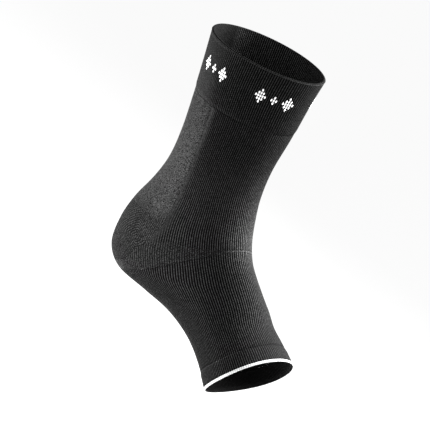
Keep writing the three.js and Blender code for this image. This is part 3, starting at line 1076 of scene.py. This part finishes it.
@dataclass
class HeelZone(KnitZone):
    """The heel, whose fine ribs run in nested lozenges round a point at either side."""

    gore_station: float = 7.35
    gore_angle: float = 110.0
    arc_pitch: float = 1.8 * MM
    arc_reach: float = 15 * MM
    lozenge_turn: float = 12.0
    lozenge_power: float = 1.2
    lozenge_width: float = 1.5
    plain_away: Ramp = Ramp(0.6, 1.0)
    plain_most: float = 0.45
    # Painted shade towards the heel's back.
    towards_back: Ramp = Ramp(92.0, 26.0)
    back_shade: float = 0.34
    under_seam: Ramp = Ramp(112.0, 5.0)
    under_shade: float = 0.85

    def gore_distance(self, grid: ZoneGrid) -> np.ndarray:
        """Measures how far out each point lies among the nested lozenges on its own side."""
        form = self.layout.form
        points = form.skin(grid.station, grid.angle)
        right = form.skin(np.float64(self.gore_station), np.float64(self.gore_angle))
        away = points * np.where(points[:, 1:2] > 0, [1, -1, 1], [1, 1, 1]) - right
        level = np.sign(away[:, 0]) * np.hypot(away[:, 0], away[:, 1]) / self.lozenge_width
        turn = math.radians(self.lozenge_turn)
        across = level * math.cos(turn) + away[:, 2] * math.sin(turn)
        up = away[:, 2] * math.cos(turn) - level * math.sin(turn)
        power = self.lozenge_power
        return (np.abs(across) ** power + np.abs(up) ** power) ** (1 / power)

    def knit_places(self, grid: ZoneGrid) -> tuple[np.ndarray, np.ndarray]:
        """Counts wales outwards from the gore, and courses round it."""
        return self.gore_distance(grid) / self.arc_pitch, grid.angle / DEGREES_PER_COURSE

    def rib_height(self, grid: ZoneGrid) -> np.ndarray:
        """Sinks fine valleys between the nested ribs."""
        wale, _ = self.knit_places(grid)
        return -np.cos(math.pi * wale) ** 2 * (1 - self.plain_share(grid))

    def plain_share(self, grid: ZoneGrid) -> np.ndarray:
        """Turns the knit plainer further away from the gore."""
        return self.plain_most * self.plain_away.at(self.gore_distance(grid) / self.arc_reach)

    def lightness(self, grid: ZoneGrid) -> np.ndarray:
        """Gives the heel's colour, darker towards its back, as painted shade."""
        return 1 - self.back_shade * self.towards_back.at(from_front(grid.angle))

    def line_gap(self, grid: ZoneGrid) -> np.ndarray:
        """Gives the distance to the seam under the heel."""
        return grid.from_end

    def line_strength(self, grid: ZoneGrid) -> np.ndarray:
        """Darkens the seam under the heel."""
        return -self.under_shade * self.under_seam.at(from_front(grid.angle))


@dataclass
class WedgeZone(KnitZone):
    """The wedge, paler and plainer than the ribs, which ends as one light line over the instep."""

    sides: Ramp = Ramp(16.0, 16.0)
    least_plain: float = 0.25
    plainer_in_front: float = 0.4
    tone: float = 0.85
    # A painted highlight on the wedge's tip.
    tip: Swell = Swell(137.0, 7.0)
    tip_light: float = 0.6
    middle_line_to: float = 60.0
    # The line over the instep, brightened with a painted highlight.
    front_line: float = 2.5
    side_stretch: Swell = Swell(107.0, 4.0, 4)
    side_line: float = 2.2

    def front_share(self, grid: ZoneGrid) -> np.ndarray:
        """Gives 1 over the instep and 0 on the sides."""
        return 1 - self.sides.at(from_front(grid.angle))

    def plain_share(self, grid: ZoneGrid) -> np.ndarray:
        """Breaks the ribs over the instep."""
        return self.least_plain + self.plainer_in_front * self.front_share(grid)

    def lightness(self, grid: ZoneGrid) -> np.ndarray:
        """Lightens the tip under the heel, as a painted highlight."""
        return self.tone + self.tip_light * self.tip.at(from_front(grid.angle))

    def line_gap(self, grid: ZoneGrid) -> np.ndarray:
        """Gives the distance to the lower border, and over the instep to the wedge's middle."""
        middle = np.abs(grid.from_start - grid.from_end) / 2
        return np.where(from_front(grid.angle) < self.middle_line_to, middle, grid.from_end)

    def line_strength(self, grid: ZoneGrid) -> np.ndarray:
        """Lightens the middle over the instep, a linking line brightened with a painted highlight, and a
        short stretch of the border below the heel's sides.
        """
        below = self.side_stretch.at(from_front(grid.angle))
        return self.front_line * self.front_share(grid) + self.side_line * below


@dataclass
class FootZone(KnitZone):
    """The ribbed foot, whose ribs start from a dark line on the sides."""

    line_starts: Ramp = Ramp(35.0, 20.0)
    line_ends: Ramp = Ramp(100.0, 15.0)
    line_shade: float = 0.75

    def line_strength(self, grid: ZoneGrid) -> np.ndarray:
        """Darkens the start of the ribs on the sides."""
        side = from_front(grid.angle)
        return -self.line_shade * self.line_starts.at(side) * (1 - self.line_ends.at(side))


@dataclass
class ToeWelt(KnitZone):
    """The doubled band before the toe opening, below a fine line that is light towards the sole."""

    sides: Ramp = Ramp(20.0, 50.0)
    side_light: float = 1.5
    front_shade: float = 0.5

    def line_strength(self, grid: ZoneGrid) -> np.ndarray:
        """Lightens the line on the sides and darkens it over the instep."""
        return self.side_light * self.sides.at(from_front(grid.angle)) - self.front_shade


@dataclass
class RimThreads:
    """Fine turned-over threads along a rim, which catch the light as a thin line, darkened all round and
    twice as much at the back with painted shade.
    """

    name: str
    layout: KnitLayout
    station: float = 0.03
    radius: float = 0.2 * MM
    outwards: float = 0.35 * MM
    section: float = 0.1
    sides: int = 6
    steps: int = 432
    towards_back: Ramp = Ramp(60.0, 60.0)
    shade: float = 0.25

    def build(self) -> bpy.types.Object:
        """Makes the thread as a closed ring of small section."""
        deselect_all()
        bpy.ops.mesh.primitive_torus_add(
            major_segments=self.steps, minor_segments=self.sides, major_radius=1.0, minor_radius=self.section
        )
        piece = name_new_piece(self.name)
        mesh = piece.data
        ring = get_points(mesh).astype(float)
        angle = np.degrees(np.arctan2(ring[:, 1], ring[:, 0]))
        reach = (np.hypot(ring[:, 0], ring[:, 1]) - 1.0) / self.section
        rise = ring[:, 2] / self.section
        form = self.layout.form
        station = np.full_like(angle, self.station)
        outward = form.outward(station, angle)
        along, _ = form.slopes(station, angle)
        along /= np.linalg.norm(along, axis=-1, keepdims=True)
        points = form.skin(station, angle)
        points += outward * (self.outwards + reach * self.radius)[:, None]
        points -= along * (rise * self.radius)[:, None]
        set_points(mesh, points)
        set_knit_places(mesh, np.full_like(angle, 0.5), angle / DEGREES_PER_COURSE)
        none = np.zeros_like(angle)
        # Painted shade on the thread, twice as deep at the back.
        thread_painted_shade = -self.shade * (1 + self.towards_back.at(from_front(angle)))
        set_attribute(mesh, "look", np.stack([none, thread_painted_shade, none], axis=-1))
        face_outwards(piece)
        mesh.materials.append(RIM_YARN.material())
        mesh.shade_smooth()
        return piece


class Lozenge(NamedTuple):
    """A filled lozenge of stitches: the wale of its middle, and its reach in stitches."""

    middle: int
    reach: int


@dataclass
class LozengeStitches:
    """White decorative stitches on the leg welt: groups of a small lozenge between two large ones."""

    name: str
    layout: KnitLayout
    group_angles: tuple[float, ...] = (95.0, 23.0, -49.0, -121.0, 167.0)
    lozenges: tuple[Lozenge, ...] = (Lozenge(-6, 2), Lozenge(0, 1), Lozenge(6, 2))
    below_rim: float = 20 * MM
    course: float = 2.3 * MM
    stitch_length: float = 2.3 * MM
    stitch_width: float = 1.4 * MM
    stitch_height: float = 0.35 * MM
    proud: float = 0.4 * MM

    def chart(self) -> list[tuple[int, int]]:
        """Lists the stitches of one group as wale and course, counted from its middle."""
        places = []
        for middle, reach in self.lozenges:
            for wale in range(-reach, reach + 1):
                left = reach - abs(wale)
                places += [(middle + wale, course) for course in range(-left, left + 1)]
        return places

    def build(self) -> bpy.types.Object:
        """Makes one stitch, copies it to every place of the chart and joins the copies."""
        deselect_all()
        bpy.ops.mesh.primitive_uv_sphere_add(segments=8, ring_count=5, radius=0.5)
        piece = name_new_piece(self.name)
        template = piece.data
        ball = get_points(template).astype(float)
        faces = [tuple(face.vertices) for face in template.polygons]
        points, polygons = [], []
        for centre in self.group_angles:
            for wale, course in self.chart():
                offset = len(points) * len(ball)
                points.append(self.stitch(ball, centre, wale, course))
                polygons += [tuple(index + offset for index in face) for face in faces]
        mesh = bpy.data.meshes.new(self.name)
        mesh.from_pydata(np.concatenate(points).tolist(), [], polygons)
        piece.data = mesh
        bpy.data.meshes.remove(template)
        mesh.name = self.name
        half = np.full(len(mesh.vertices), 0.5)
        set_knit_places(mesh, half, half)
        set_attribute(mesh, "look", np.tile([1.0, 0.0, 0.0], (len(mesh.vertices), 1)))
        face_outwards(piece)
        mesh.materials.append(WHITE_YARN.material())
        mesh.shade_smooth()
        return piece

    def stitch(self, ball: np.ndarray, centre: float, wale: int, course: int) -> np.ndarray:
        """Places one stitch on the welt.

        Args:
            ball: The points of a ball that is one unit wide.
            centre: The angle of the middle of the stitch's group.
            wale: The stitch's wale, counted from there.
            course: Its course, counted upwards from the middle.

        Returns:
            The stitch's points.
        """
        form, wale_step = self.layout.form, 360 / self.layout.wales
        middle = (round(centre / wale_step) + wale + 0.5) * wale_step
        start = np.zeros(1)
        angle = self.layout.angle_of(np.array([(middle + 180) % 360 - 180]), start)
        station = form.station_after(start, angle, self.below_rim - course * self.course)
        along = form.slopes(station, angle)[0][0]
        along = along / np.linalg.norm(along)
        outward = form.outward(station, angle)[0]
        return (
            form.skin(station, angle)[0] + outward * self.proud
            + ball[:, :1] * self.stitch_width * np.cross(along, outward)
            + ball[:, 1:2] * self.stitch_length * along
            + ball[:, 2:3] * self.stitch_height * 2 * outward
        )


@dataclass
class Sleeve:
    """The whole sleeve: its zones from the leg rim to the toe rim, its rim threads and its stitches."""

    layout: KnitLayout = field(default_factory=KnitLayout)
    knit_wall: float = 1.3 * MM
    plain_wall: float = 1.1 * MM
    welt_wall: float = 2.0 * MM
    toe_edge_wall: float = 1.2 * MM
    welt_proud: float = 0.4 * MM

    def zones(self) -> list[KnitZone]:
        """Lists the zones of the knit."""
        layout = self.layout
        welt_foot, heel_top = layout.welt_foot(), layout.heel_top()
        wedge_top, wedge_foot = layout.wedge(0), layout.wedge(1)
        toe_welt = layout.above_toe_rim(layout.toe_welt_length)
        toe_edge = layout.above_toe_rim(layout.toe_edge_length)
        toe_rim = layout.above_toe_rim(0.0)
        return [
            LegWelt("leg_welt", BLACK_RIB, layout.leg_rim(), welt_foot, self.welt_wall, layout,
                    proud=self.welt_proud, rim_at_start=True, eased_at_end=True, rib_depth=0.3 * MM),
            FrontZone("leg_front", BLACK_RIB, welt_foot, wedge_top, self.knit_wall, layout, Span.FRONT),
            PlainZone("achilles_panel", GREY_PLAIN, welt_foot, heel_top, self.plain_wall, layout, Span.BACK,
                      row_step=0.9 * MM, rib_depth=0.12 * MM, inner_rib_depth=0.1 * MM),
            HeelZone("heel_cup", HEEL_KNIT, heel_top, wedge_top, self.knit_wall, layout, Span.BACK,
                     row_step=0.5 * MM, column_step=0.5 * MM, rib_depth=0.15 * MM, inner_rib_depth=0.1 * MM),
            WedgeZone("ankle_gusset", HEEL_KNIT, wedge_top, wedge_foot, self.knit_wall, layout,
                      rib_depth=0.2 * MM),
            FootZone("foot_tube", BLACK_RIB, wedge_foot, toe_welt, self.knit_wall, layout, samples=5,
                     row_step=2.1 * MM),
            # The toe welt's and the white edge's insides are darkened with painted shade, the edge's almost
            # to black.
            ToeWelt("toe_welt", BLACK_RIB, toe_welt, toe_edge, self.welt_wall, layout, proud=self.welt_proud,
                    eased_at_start=True, rib_depth=0.25 * MM, inner_lightness=0.45),
            KnitZone("toe_edge", WHITE_YARN, toe_edge, toe_rim, self.toe_edge_wall, layout,
                     proud=self.welt_proud, rib_depth=0.2 * MM, rim_at_end=True, rim_round=0.5 * MM,
                     row_step=0.3 * MM, inner_lightness=0.015),
        ]

    def build(self) -> None:
        """Builds every piece, hides the part that it stands for and seats it on the sleeve's body."""
        for zone in self.zones():
            piece = zone.build()
            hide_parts(zone.node)
            self.seat(piece)
        self.seat(RimThreads("leg_rim_thread", self.layout).build())
        self.seat(LozengeStitches("welt_stitches", self.layout).build())

    def seat(self, piece: bpy.types.Object) -> None:
        """Lets a piece ride on the sleeve's body and reports it."""
        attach(piece, BODY)
        triangles = sum(len(face.vertices) - 2 for face in piece.data.polygons)
        LOG.info("%s: %d triangles", piece.name, triangles)


@dataclass(frozen=True)
class SoftLight:
    """A soft box, placed by its direction as the camera sees it."""

    name: str
    right: float
    up: float
    back: float
    power: float
    size: float = 0.9
    distance: float = 1.3

    def build(self, axes: Matrix) -> None:
        """Hangs the light so that it faces the sleeve.

        Args:
            axes: The camera's right, up and back directions as columns.
        """
        direction = (axes @ Vector((self.right, self.up, self.back))).normalized()
        data = bpy.data.lights.new(self.name, "AREA")
        data.shape = "SQUARE"
        data.size = self.size
        data.energy = self.power
        light = bpy.data.objects.new(self.name, data)
        bpy.context.scene.collection.objects.link(light)
        light.location = direction * self.distance
        light.rotation_euler = direction.to_track_quat("Z", "Y").to_euler()
        light.visible_camera = False


@dataclass(frozen=True)
class Studio:
    """A pale floor far below, a white surround and soft lights from both sides."""

    floor_drop: float = 0.8
    floor_size: float = 60.0
    floor_colour: str = "#fafafa"
    surround: float = 1.0
    lights: tuple[SoftLight, ...] = (
        SoftLight("light_over_the_instep", right=0.8, up=0.5, back=-0.36, power=86.0),
        SoftLight("light_before_the_toes", right=1.0, up=0.1, back=-0.4, power=95.0),
        SoftLight("light_behind_the_heel", right=-0.9, up=0.15, back=-0.4, power=72.0),
    )

    def build(self, axes: Matrix) -> None:
        """Builds the floor, the surround and the lights.

        Args:
            axes: The camera's right, up and back directions as columns.
        """
        deselect_all()
        bpy.ops.mesh.primitive_plane_add(size=self.floor_size, location=(0, 0, -self.floor_drop))
        floor = bpy.context.active_object
        floor.name = "floor"
        paint = bpy.data.materials.new("matt_white_floor_paint")
        paint.use_nodes = True
        shader = paint.node_tree.nodes["Principled BSDF"]
        shader.inputs["Base Color"].default_value = linear(self.floor_colour)
        shader.inputs["Roughness"].default_value = 0.9
        shader.inputs["Specular IOR Level"].default_value = 0.0
        floor.data.materials.append(paint)
        world = bpy.data.worlds.new("studio")
        world.use_nodes = True
        backdrop = world.node_tree.nodes["Background"]
        backdrop.inputs["Color"].default_value = (1, 1, 1, 1)
        backdrop.inputs["Strength"].default_value = self.surround
        bpy.context.scene.world = world
        bpy.context.scene.view_settings.view_transform = "Standard"
        for light in self.lights:
            light.build(axes)
        LOG.info("floor, surround and %d lights", len(self.lights))


@dataclass(frozen=True)
class StudioCamera:
    """The camera, at the angle and distance that give the picture's view."""

    azimuth: float = 37.0
    elevation: float = 16.0
    roll: float = 24.5
    distance: float = 2.2
    frame_size: float = 318.3 * MM
    sensor: float = 36.0
    right_of_origin: float = 15.17 * MM
    above_origin: float = 4.07 * MM
    sees_to: float = 200.0

    def axes(self) -> Matrix:
        """Gives the camera's right, up and back directions as a matrix's columns."""
        azimuth, elevation = math.radians(self.azimuth), math.radians(self.elevation)
        back = Vector((
            math.sin(azimuth) * math.cos(elevation),
            -math.cos(azimuth) * math.cos(elevation),
            math.sin(elevation),
        ))
        level = Vector((math.cos(azimuth), math.sin(azimuth), 0.0))
        upright = back.cross(level)
        turn = math.radians(self.roll)
        right = level * math.cos(turn) + upright * math.sin(turn)
        up = back.cross(right)
        return Matrix((right, up, back)).transposed()

    def build(self) -> None:
        """Sets the camera up."""
        axes = self.axes()
        right, up, back = (axes.col[k] for k in range(3))
        target = right * self.right_of_origin + up * self.above_origin
        data = bpy.data.cameras.new("camera")
        data.sensor_width = self.sensor
        data.lens = self.sensor * self.distance / self.frame_size
        data.clip_end = self.sees_to
        camera = bpy.data.objects.new("camera", data)
        bpy.context.scene.collection.objects.link(camera)
        camera.matrix_world = Matrix.Translation(target + back * self.distance) @ axes.to_4x4()
        bpy.context.scene.camera = camera
        LOG.info("camera %.0f mm", data.lens)


def main() -> None:
    """Builds the camera, the sleeve and the studio."""
    logging.basicConfig(level=logging.INFO, format="%(name)s: %(message)s")
    camera = StudioCamera()
    camera.build()
    Sleeve().build()
    Studio().build(camera.axes())


if __name__ == "__main__":
    main()
